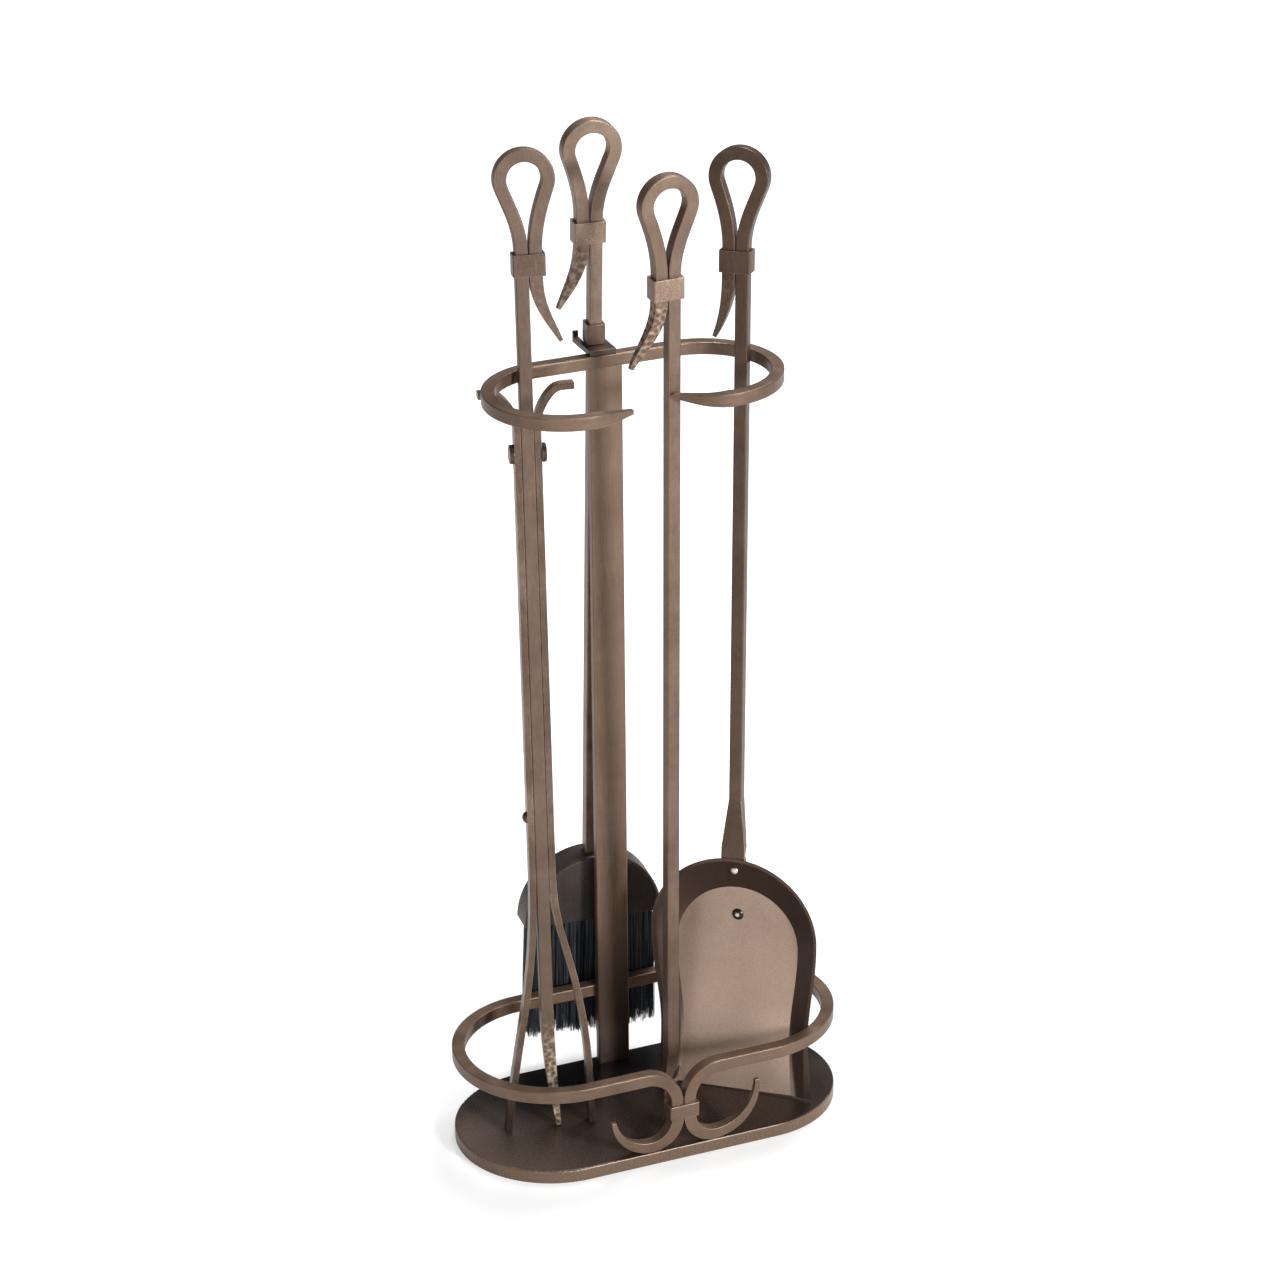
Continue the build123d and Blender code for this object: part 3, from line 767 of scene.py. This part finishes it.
@dataclass
class Stand:
    """The base plate, the column, the two rails and the brush's fork.

    Attributes:
        column_edge_mm: radius that the column's edges seem to have.
        column_shade_mm: height over the floor up to which shade is painted on the column.
        column_mottle_mm: size of the patches on the column's wide face.
    """

    column_edge_mm: float = 1.2
    column_shade_mm: float = 190.0
    column_mottle_mm: float = 45.0

    def build(self) -> None:
        """Dresses the stand's pieces."""
        # Flat bar with a broad, even sheen, painted darker towards the plate as shade.
        column = BurnishedBronze(
            "burnished_bronze_column",
            dark="#75604F",
            middle="#826A58",
            light="#8F7867",
            mottle_mm=self.column_mottle_mm,
            edge_mm=self.column_edge_mm,
            shade_height_mm=self.column_shade_mm,
        )
        dress(column.build(), "column")
        # Bent bar that is brushed along its bend, so its sheen runs round the rail.
        rails = BurnishedBronze("burnished_bronze_rails", run=GrainRun.LEVEL)
        dress(
            rails.build(), "lower_rail_left", "lower_rail_right", "lower_rail_collar", "upper_rail"
        )
        # Same coat as the rails in darker, browner tones, painted as shade.
        fork = BurnishedBronze(
            "shaded_bronze_fork", run=GrainRun.LEVEL, dark="#43362D", middle="#524338", light="#655447"
        )
        dress(fork.build(), "brush_fork")
        # The smooth top, painted dark as shade, has a soft gloss, and the cut edge frames it in brown.
        dress(PaintedPlate("semi_gloss_plate").build(), "base_plate")


@dataclass
class Tongs:
    """The tongs: bar, collar, two arms and their rivets.

    Attributes:
        zone: the hammered tail and point.
        arm_shade_mm: height over the floor up to which shade is painted on the arms.
    """

    zone: HammeredZone = HammeredZone(TONGS, 1, 656 * MM, 96 * MM, 0.1, 0.8, 0.25)
    arm_shade_mm: float = 95.0

    def build(self) -> None:
        """Dresses the tongs' pieces."""
        # A duller, less metallic coat than the other bars have, so it hardly shines.
        bar = BurnishedBronze(
            "burnished_bronze_tongs",
            hammered=self.zone,
            dark="#5F4C3F",
            middle="#6E594A",
            light="#7D6858",
            metallic=0.3,
            roughness=0.42,
        )
        dress(bar.build(), "tongs_bar")
        # Thin flat arms with a shinier coat, which catches the light, and feet painted dark as shade.
        arms = BurnishedBronze(
            "burnished_bronze_arms",
            dark="#5A483C",
            middle="#6B5748",
            light="#8A7565",
            metallic=0.5,
            roughness=0.3,
            shade_height_mm=self.arm_shade_mm,
        )
        dress(arms.build(), "tongs_arm_left", "tongs_arm_right")
        # Heavily flecked coat, so the strap looks grainy beside the bar.
        collar = BurnishedBronze(
            "speckled_bronze_tongs_collar", dark="#5F4C3F", middle="#6E594A", light="#7D6858", speckle=0.7
        )
        dress(collar.build(), "tongs_collar")
        # Dark, smoother rivets that show as small buttons on the bronze.
        pins = BurnishedBronze(
            "dark_pins", dark="#3E322B", middle="#4A3C33", light="#5A4A3F", roughness=0.3
        )
        dress(pins.build(), "tongs_pivot", "tongs_stud")


@dataclass
class Poker:
    """The poker: bar, collar and hook.

    Attributes:
        zone: the hammered tail and point.
    """

    zone: HammeredZone = HammeredZone(POKER, -1, 649 * MM, 14 * MM, 0.75, 0.3)

    def build(self) -> None:
        """Dresses the poker's pieces."""
        # A pale bar, with hammer marks on its tail whose ridges are painted bright as glints and worn
        # metal.
        bar = BurnishedBronze(
            "burnished_bronze_poker", hammered=self.zone, middle="#7B6556", light="#8D7665"
        )
        dress(bar.build(), "poker_bar", "poker_hook")
        dress(pale_collar("speckled_bronze_poker_collar"), "poker_collar")


@dataclass
class Shovel:
    """The shovel: bar, collar, ash pan and rivets.

    Attributes:
        zone: the hammered tail.
        bright_crown_from: how far the top rivet's painted highlight reaches down its side.
        dark_crown_from: the same for the low rivet, whose painted highlight is a small spot.
    """

    zone: HammeredZone = HammeredZone(SHOVEL, -1, 642.5 * MM, tint_share=0.1, dented=0.3)
    bright_crown_from: float = 0.6
    dark_crown_from: float = 0.94

    def build(self) -> None:
        """Dresses the shovel's pieces."""
        # The darkest and brownest of the bars, painted darker as the shade on a bar turned from the lamps.
        bar = BurnishedBronze(
            "burnished_bronze_shovel",
            hammered=self.zone,
            dark="#4E3D30",
            middle="#5C493B",
            light="#6B5746",
        )
        dress(bar.build(), "shovel_bar", "shovel_collar")
        # The pale flat is the brightest face of the set, and the wall is painted darker as shade.
        dress(PressedSheet("pressed_pan_sheet").build(), "shovel_pan")
        # One rivet has a painted highlight over its whole crown, the other is a dark bead with one small
        # painted highlight.
        bright = RivetHead("bright_rivet", crown_from=self.bright_crown_from)
        dress(bright.build(), "shovel_rivet_top")
        dark = RivetHead("dark_rivet", crown_from=self.dark_crown_from)
        dress(dark.build(), "shovel_rivet_low")


@dataclass
class HearthBrush:
    """The brush: bar, collar, stop, half-round head and its strands.

    Attributes:
        zone: the hammered tail.
        width: the roots' spread across the brush, in metres.
        depth: the roots' spread from front to back, in metres.
        length: height of the head's underside above the longest tips, in metres.
        across: tufts across the brush.
        deep: tufts from front to back.
        per_tuft: strands in a tuft.
        tuft_reach: how far a strand's root may lie from its tuft's middle, in metres.
        thick: a strand's thickness at its root, in metres.
        bow: how far a strand's middle bows out, in metres.
        flare: how much wider the tips spread than the roots.
        tuft_lean: how far a whole tuft leans, in metres at its tips.
        tip_spread: how far a strand strays from its tuft, in metres at its tip.
        ragged: how much shorter the shortest strands are, in metres.
        tuft_short: how uneven the tufts are, as a share of ragged.
        tip_uneven: how uneven a tuft's own tips are, in metres.
        tip_across: the furthest a tip stands to either side, in metres.
        tip_deep: the furthest a tip stands to the front or back, in metres.
        end_thin: how much thinner the brush is at its two sides.
        seed: seed of the strands' spread.
    """

    zone: HammeredZone = HammeredZone(BRUSH, -1, 647.5 * MM, tint_share=0.6)
    width: float = 95.5 * MM
    depth: float = 17.9 * MM
    length: float = 102.0 * MM
    across: int = 30
    deep: int = 6
    per_tuft: int = 16
    tuft_reach: float = 1.3 * MM
    thick: float = 0.75 * MM
    bow: float = 0.5 * MM
    flare: float = 1.05
    tuft_lean: float = 1.3 * MM
    tip_spread: float = 0.7 * MM
    ragged: float = 16.0 * MM
    tuft_short: float = 0.3
    tip_uneven: float = 1.4 * MM
    tip_across: float = 51.5 * MM
    tip_deep: float = 11.2 * MM
    end_thin: float = 0.35
    seed: int = 7

    def strand(self) -> bpy.types.Object:
        """Models one strand at its size: a thin bar drawn down to its tip with a slight bow.

        Returns:
            The strand, its tip at the origin and its root at the length above it.
        """
        bpy.ops.object.select_all(action="DESELECT")
        bpy.ops.mesh.primitive_circle_add(
            vertices=4, radius=self.thick / 2, fill_type="NGON", location=(0, 0, self.length)
        )
        strand = bpy.context.object
        bpy.ops.object.mode_set(mode="EDIT")
        bpy.ops.mesh.select_all(action="SELECT")
        half = self.length / 2
        for shift, height, taper in ((self.bow, half, 0.8), (-self.bow, 0.0, 0.45)):
            bpy.ops.mesh.extrude_region_move(TRANSFORM_OT_translate={"value": (shift, 0, -half)})
            centre = (max(shift, 0.0), 0, height)
            bpy.ops.transform.resize(value=(taper, taper, 1), center_override=centre)
        bpy.ops.mesh.select_all(action="SELECT")
        bpy.ops.mesh.normals_make_consistent(inside=False)
        bpy.ops.object.mode_set(mode="OBJECT")
        bpy.ops.object.transform_apply(location=True, rotation=True, scale=True)
        # Extruding lists the sides in an order that changes from run to run, so the faces are
        # sorted by their corners.
        form = bmesh.new()
        form.from_mesh(strand.data)
        form.faces.sort(key=lambda face: sum(2**corner.index for corner in face.verts))
        form.to_mesh(strand.data)
        form.free()
        return strand

    def placing(self, root: np.ndarray, tip: np.ndarray, low: float, turn: float) -> Matrix:
        """Works out where a copy of the strand stands.

        Args:
            root: where its root is across and through the brush, in metres.
            tip: where its tip is across and through the brush, in metres.
            low: the tip's height over the longest tips, in metres.
            turn: how far the strand's bow is turned, in radians.

        Returns:
            The matrix that takes the modelled strand to its place.
        """
        lean = (root - tip) / self.length
        slant = Matrix(
            (
                (1, 0, lean[0], tip[0]),
                (0, 1, lean[1], tip[1]),
                (0, 0, 1 - low / self.length, low),
                (0, 0, 0, 1),
            )
        )
        return BRUSH.matrix() @ slant @ Matrix.Rotation(turn, 4, "Z")

    def tuft(self, middle: np.ndarray, chance: np.random.Generator) -> list[Matrix]:
        """Spreads one tuft's strands round the middle of their roots.

        Args:
            middle: the tuft's place across and through the brush, in metres.
            chance: the seeded spread.

        Returns:
            The matrix of each strand.
        """
        lean = chance.normal(0, self.tuft_lean, 2)
        short = abs(chance.normal(0, self.tuft_short)) * self.ragged
        places = []
        for _ in range(self.per_tuft):
            root = middle + chance.uniform(-self.tuft_reach, self.tuft_reach, 2)
            tip = root * self.flare + lean + chance.normal(0, self.tip_spread, 2)
            tip[0] = np.clip(tip[0], -self.tip_across, self.tip_across)
            room = self.tip_deep * (1 - self.end_thin * (tip[0] / self.tip_across) ** 2)
            tip[1] = np.clip(tip[1], -room, room)
            low = min(short + abs(chance.normal(0, self.tip_uneven)), self.ragged)
            places.append(self.placing(root, tip, low, chance.uniform(0, 2 * math.pi)))
        return places

    def strands(self) -> bpy.types.Object:
        """Sets copies of the strand out in tufts under the head.

        Returns:
            The strands, joined to one piece.
        """
        chance = np.random.default_rng(self.seed)
        pattern = self.strand()
        bpy.ops.object.select_all(action="DESELECT")
        for column, row in itertools.product(range(self.across), range(self.deep)):
            middle = np.array(
                [
                    (column / (self.across - 1) - 0.5) * self.width,
                    (row / (self.deep - 1) - 0.5) * self.depth,
                ]
            )
            for place in self.tuft(middle, chance):
                mesh = pattern.data.copy()
                mesh.transform(place)
                strand = bpy.data.objects.new("brush_strand", mesh)
                bpy.context.scene.collection.objects.link(strand)
                strand.select_set(True)
        bpy.data.objects.remove(pattern)
        bpy.context.view_layer.objects.active = strand
        bpy.ops.object.join()
        strand.name = strand.data.name = "brush_strands"
        return strand

    def build(self) -> None:
        """Builds the strands and dresses the brush's pieces."""
        # A pale bar like the poker's, a little lighter.
        bar = BurnishedBronze(
            "burnished_bronze_brush", hammered=self.zone, middle="#8C7766", light="#A38E7D"
        )
        dress(bar.build(), "brush_bar")
        dress(pale_collar("speckled_bronze_brush_collar"), "brush_collar")
        # A collar painted darker as shade, which sets the end of the bar off from the fork.
        stop = BurnishedBronze(
            "shaded_bronze_stop", dark="#5C4A3E", middle="#6B574A", light="#7D685A"
        )
        dress(stop.build(), "brush_stop")
        # Dull, nearly black pressed shell with one pale painted highlight along its rim.
        shell = BurnishedBronze(
            "dark_pressed_shell",
            dark="#3A322F",
            middle="#463D39",
            light="#514743",
            edge_highlight="#8D8077",
            roughness=0.4,
            brushing_mm=1.4,
        )
        dress(shell.build(), "brush_head")
        strands = self.strands()
        # Black threads that show as fine blue-grey lines where they catch the light.
        strands.data.materials.append(BristleFibre("black_fibre").build())
        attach(strands, "brush")
        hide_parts("brush_bristles")
        log.info("set %d strands", self.across * self.deep * self.per_tuft)


# ------------------------------------------------------------------ studio
@dataclass(frozen=True)
class Lamp:
    """A soft square lamp that points at the object's middle.

    Attributes:
        name: the lamp's name.
        place: where it hangs, in metres.
        size: its side, in metres.
        power: its power, in watts.
        target: what it points at, in metres.
    """

    name: str
    place: Triple
    size: float
    power: float
    target: Triple = (0.0, 0.0, 0.35)

    def hang(self) -> None:
        """Hangs the lamp in the scene."""
        data = bpy.data.lights.new(self.name, "AREA")
        data.size = self.size
        data.energy = self.power
        lamp = bpy.data.objects.new(self.name, data)
        bpy.context.scene.collection.objects.link(lamp)
        place = Vector(self.place)
        turn = (Vector(self.target) - place).to_track_quat("-Z", "Y")
        lamp.matrix_world = Matrix.Translation(place) @ turn.to_matrix().to_4x4()


@dataclass(frozen=True)
class Studio:
    """Pale floor, even white surroundings, soft lamps and the camera.

    Attributes:
        lamps: the lamps.
        camera_place: the camera's place, in metres.
        camera_turn: how far it looks to the right, in degrees.
        camera_drop: how far it looks down, in degrees.
        camera_roll: how far it is tipped to its left, in degrees.
        lens: its focal length, in millimetres on a sensor 36 mm wide.
        floor_size: the floor's side, in metres.
        floor_drop: how far the floor lies under the plate, in metres.
        floor_grey: the floor's own grey, as a linear value.
        floor_glow: how bright the floor is close to the object, where shadows show.
        glow_from: distance from the middle where the floor starts to whiten, in metres.
        glow_to: distance from the middle where the floor is plain white, in metres.
        floor_shine: how much of the bright floor shiny faces see.
        ambient: strength of the even light from all round.
    """

    lamps: tuple[Lamp, ...] = (
        Lamp("key", (0.95, -2.6, 1.15), 0.4, 80.0),
        Lamp("fill", (-1.3, -2.3, 0.7), 0.9, 11.0),
        Lamp("top", (0.75, 0.7, 2.3), 0.9, 48.0),
        Lamp("left", (-2.6, -0.6, 0.9), 1.0, 5.0),
    )
    camera_place: Triple = (-1.0578, -2.5325, 1.6577)
    camera_turn: float = 22.641
    camera_drop: float = 24.722
    camera_roll: float = -0.4916
    lens: float = 117.68
    floor_size: float = 14.0
    floor_drop: float = 0.6 * MM
    floor_grey: float = 0.5
    floor_glow: float = 0.58
    glow_from: float = 0.18
    glow_to: float = 0.45
    floor_shine: float = 0.6
    ambient: float = 0.15

    def floor_paint(self) -> bpy.types.Material:
        """Paints the floor: plain white to the camera, with a faint shadow near the object.

        Returns:
            The floor's material.
        """
        material = bpy.data.materials.new("pale_floor")
        material.use_nodes = True
        tree = material.node_tree
        tree.nodes.clear()
        place = add_node(tree, "ShaderNodeTexCoord").outputs["Object"]
        reach = add_node(tree, "ShaderNodeVectorMath", {"operation": "LENGTH"}, {0: place})
        feeds = {
            "Value": reach.outputs["Value"],
            "From Min": self.glow_from,
            "From Max": self.glow_to,
            "To Min": self.floor_glow,
            "To Max": 1.0,
        }
        strength = add_node(tree, "ShaderNodeMapRange", SMOOTH, feeds).outputs["Result"]
        grey = (self.floor_grey,) * 3 + (1.0,)
        paint = add_node(tree, "ShaderNodeBsdfDiffuse", feeds={"Color": grey}).outputs[0]
        glow = add_node(tree, "ShaderNodeEmission", feeds={"Color": WHITE, "Strength": strength})
        bright = add_node(tree, "ShaderNodeAddShader", feeds={0: paint, 1: glow.outputs[0]}).outputs[0]
        # The camera sees the bright floor and shiny faces see a part of it, but it lights nothing.
        rays = add_node(tree, "ShaderNodeLightPath").outputs
        shine = add_node(
            tree, "ShaderNodeMath", TIMES, {0: rays["Is Glossy Ray"], 1: self.floor_shine}
        ).outputs[0]
        room = add_node(tree, "ShaderNodeMixShader", feeds={0: shine, 1: paint, 2: bright}).outputs[0]
        feeds = {0: rays["Is Camera Ray"], 1: room, 2: bright}
        mix = add_node(tree, "ShaderNodeMixShader", feeds=feeds).outputs[0]
        add_node(tree, "ShaderNodeOutputMaterial", feeds={"Surface": mix})
        return material

    def floor(self) -> None:
        """Lays the plain pale floor."""
        bpy.ops.object.select_all(action="DESELECT")
        bpy.ops.mesh.primitive_plane_add(size=self.floor_size, location=(0, 0, -self.floor_drop))
        plane = bpy.context.object
        plane.name = "floor"
        plane.data.materials.append(self.floor_paint())

    def world(self) -> None:
        """Sets a dim even light from all round, which the camera sees as white."""
        world = bpy.data.worlds.new("studio")
        bpy.context.scene.world = world
        world.use_nodes = True
        tree = world.node_tree
        tree.nodes.clear()
        rays = add_node(tree, "ShaderNodeLightPath").outputs
        dim, white = (
            add_node(tree, "ShaderNodeBackground", feeds={"Color": WHITE, "Strength": strength}).outputs[0]
            for strength in (self.ambient, 1.0)
        )
        feeds = {0: rays["Is Camera Ray"], 1: dim, 2: white}
        mix = add_node(tree, "ShaderNodeMixShader", feeds=feeds).outputs[0]
        add_node(tree, "ShaderNodeOutputWorld", feeds={"Surface": mix})

    def camera(self) -> None:
        """Sets the camera up and makes it the scene's own."""
        turn, drop, roll = (
            math.radians(angle) for angle in (self.camera_turn, self.camera_drop, self.camera_roll)
        )
        ahead = Vector(
            (math.sin(turn) * math.cos(drop), math.cos(turn) * math.cos(drop), -math.sin(drop))
        )
        right = Vector((math.cos(turn), -math.sin(turn), 0.0))
        up = right.cross(ahead)
        tipped_right = right * math.cos(roll) + up * math.sin(roll)
        tipped_up = up * math.cos(roll) - right * math.sin(roll)
        columns = (tipped_right, tipped_up, -ahead)
        turned = Matrix([[column[row] for column in columns] for row in range(3)])
        data = bpy.data.cameras.new("camera")
        data.lens = self.lens
        data.sensor_width = 36.0
        data.clip_end = 50.0
        camera = bpy.data.objects.new("camera", data)
        bpy.context.scene.collection.objects.link(camera)
        camera.matrix_world = Matrix.Translation(Vector(self.camera_place)) @ turned.to_4x4()
        bpy.context.scene.camera = camera

    def build(self) -> None:
        """Builds the whole studio."""
        self.floor()
        self.world()
        for lamp in self.lamps:
            lamp.hang()
        self.camera()
        bpy.context.scene.view_settings.view_transform = "Standard"
        log.info("set the studio with %d lamps", len(self.lamps))


def main() -> None:
    """Builds every sub-assembly in order, then the studio."""
    logging.basicConfig(level=logging.INFO, format="%(name)s: %(message)s")
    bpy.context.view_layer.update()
    for part in (Stand(), Tongs(), Poker(), Shovel(), HearthBrush()):
        part.build()
    Studio().build()


if __name__ == "__main__":
    main()
